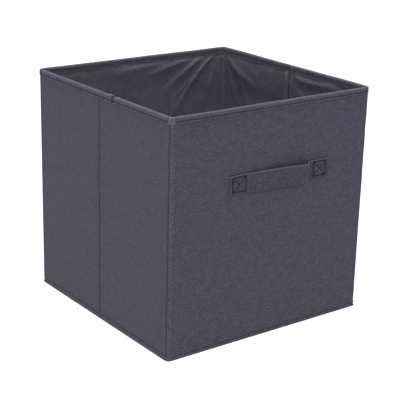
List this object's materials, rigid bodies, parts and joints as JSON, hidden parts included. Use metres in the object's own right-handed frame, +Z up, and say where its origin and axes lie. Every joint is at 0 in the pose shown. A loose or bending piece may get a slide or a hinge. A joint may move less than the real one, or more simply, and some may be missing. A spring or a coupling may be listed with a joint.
{
  "type": "fabric storage bin",
  "caption": "Square folding storage bin: stiff boards in a sewn non-woven fabric cover, bound rim, inward folding side walls, loose base board and a strap handle on the front.",
  "frame": {"origin": "centre of the underside, at floor level, midway between the outer side covers and midway between the outer front and back covers", "axes": "+Z up; -Y is the front, the wall with the handle; +X to the right as seen from the front"},
  "size_m": [0.2817, 0.2867, 0.2725],
  "materials": {
    "cover": "matte spunbond non-woven, dark grey",
    "liner": "matte thin spunbond non-woven, darker grey",
    "binding": "matte folded tape, dark grey",
    "strap": "matte folded strap, dark grey",
    "thread": "matte sewing thread, charcoal",
    "board": "matte grey-brown chipboard (pressed paper board)"
  },
  "bodies": {
    "back": {"board_back": "board", "cover_back": "cover", "liner_back": "liner", "binding_back": "binding", "rim_thread_back": "thread", "corner_strip_back_left": "cover", "corner_strip_back_right": "cover", "bottom_fabric": "cover", "bottom_hem": "cover", "hem_thread": "thread"},
    "left_rear": {"board_left_rear": "board", "cover_left_rear": "cover", "liner_left_rear": "liner", "binding_left_rear": "binding", "rim_thread_left_rear": "thread", "fold_strip_left": "cover"},
    "left_front": {"board_left_front": "board", "cover_left_front": "cover", "liner_left_front": "liner", "binding_left_front": "binding", "rim_thread_left_front": "thread", "binding_overlap": "binding"},
    "front": {"board_front": "board", "cover_front": "cover", "liner_front": "liner", "binding_front": "binding", "rim_thread_front": "thread", "corner_strip_front_left": "cover", "corner_strip_front_right": "cover", "handle_end_left": "strap", "handle_end_right": "strap", "handle_thread_left": "thread", "handle_thread_right": "thread"},
    "right_rear": {"board_right_rear": "board", "cover_right_rear": "cover", "liner_right_rear": "liner", "binding_right_rear": "binding", "rim_thread_right_rear": "thread", "fold_strip_right": "cover"},
    "right_front": {"board_right_front": "board", "cover_right_front": "cover", "liner_right_front": "liner", "binding_right_front": "binding", "rim_thread_right_front": "thread"},
    "base_insert": {"board_base": "board", "base_cover": "liner"},
    "handle": {"handle_strap": "strap"}
  },
  "joints": [
    {"name": "fold", "type": "hinge", "parent": "back", "child": "left_rear", "pos_m": [-0.1353, 0.1333, 0], "axis": [0, 0, 1], "range_deg": [0, 84]},
    {"name": "left_middle", "type": "hinge", "parent": "left_rear", "child": "left_front", "pos_m": [-0.1409, 0, 0], "axis": [0, 0, 1], "range_deg": [-168, 0]},
    {"name": "front_left_corner", "type": "hinge", "parent": "left_front", "child": "front", "pos_m": [-0.1353, -0.1333, 0], "axis": [0, 0, 1], "range_deg": [0, 84]},
    {"name": "back_right_corner", "type": "hinge", "parent": "back", "child": "right_rear", "pos_m": [0.1353, 0.1333, 0], "axis": [0, 0, 1], "range_deg": [-84, 0]},
    {"name": "right_middle", "type": "hinge", "parent": "right_rear", "child": "right_front", "pos_m": [0.1409, 0, 0], "axis": [0, 0, 1], "range_deg": [0, 168]},
    {"name": "base_lift", "type": "slide", "parent": "back", "child": "base_insert", "axis": [0, 0, 1], "range_m": [0, 0.3]},
    {"name": "handle_pull", "type": "slide", "parent": "front", "child": "handle", "axis": [0, -1, 0], "range_m": [0, 0.006]}
  ],
  "couplings": [
    {"joint": "left_middle", "follows": "fold", "ratio": -2},
    {"joint": "front_left_corner", "follows": "fold", "ratio": 1},
    {"joint": "back_right_corner", "follows": "fold", "ratio": -1},
    {"joint": "right_middle", "follows": "fold", "ratio": 2}
  ]
}
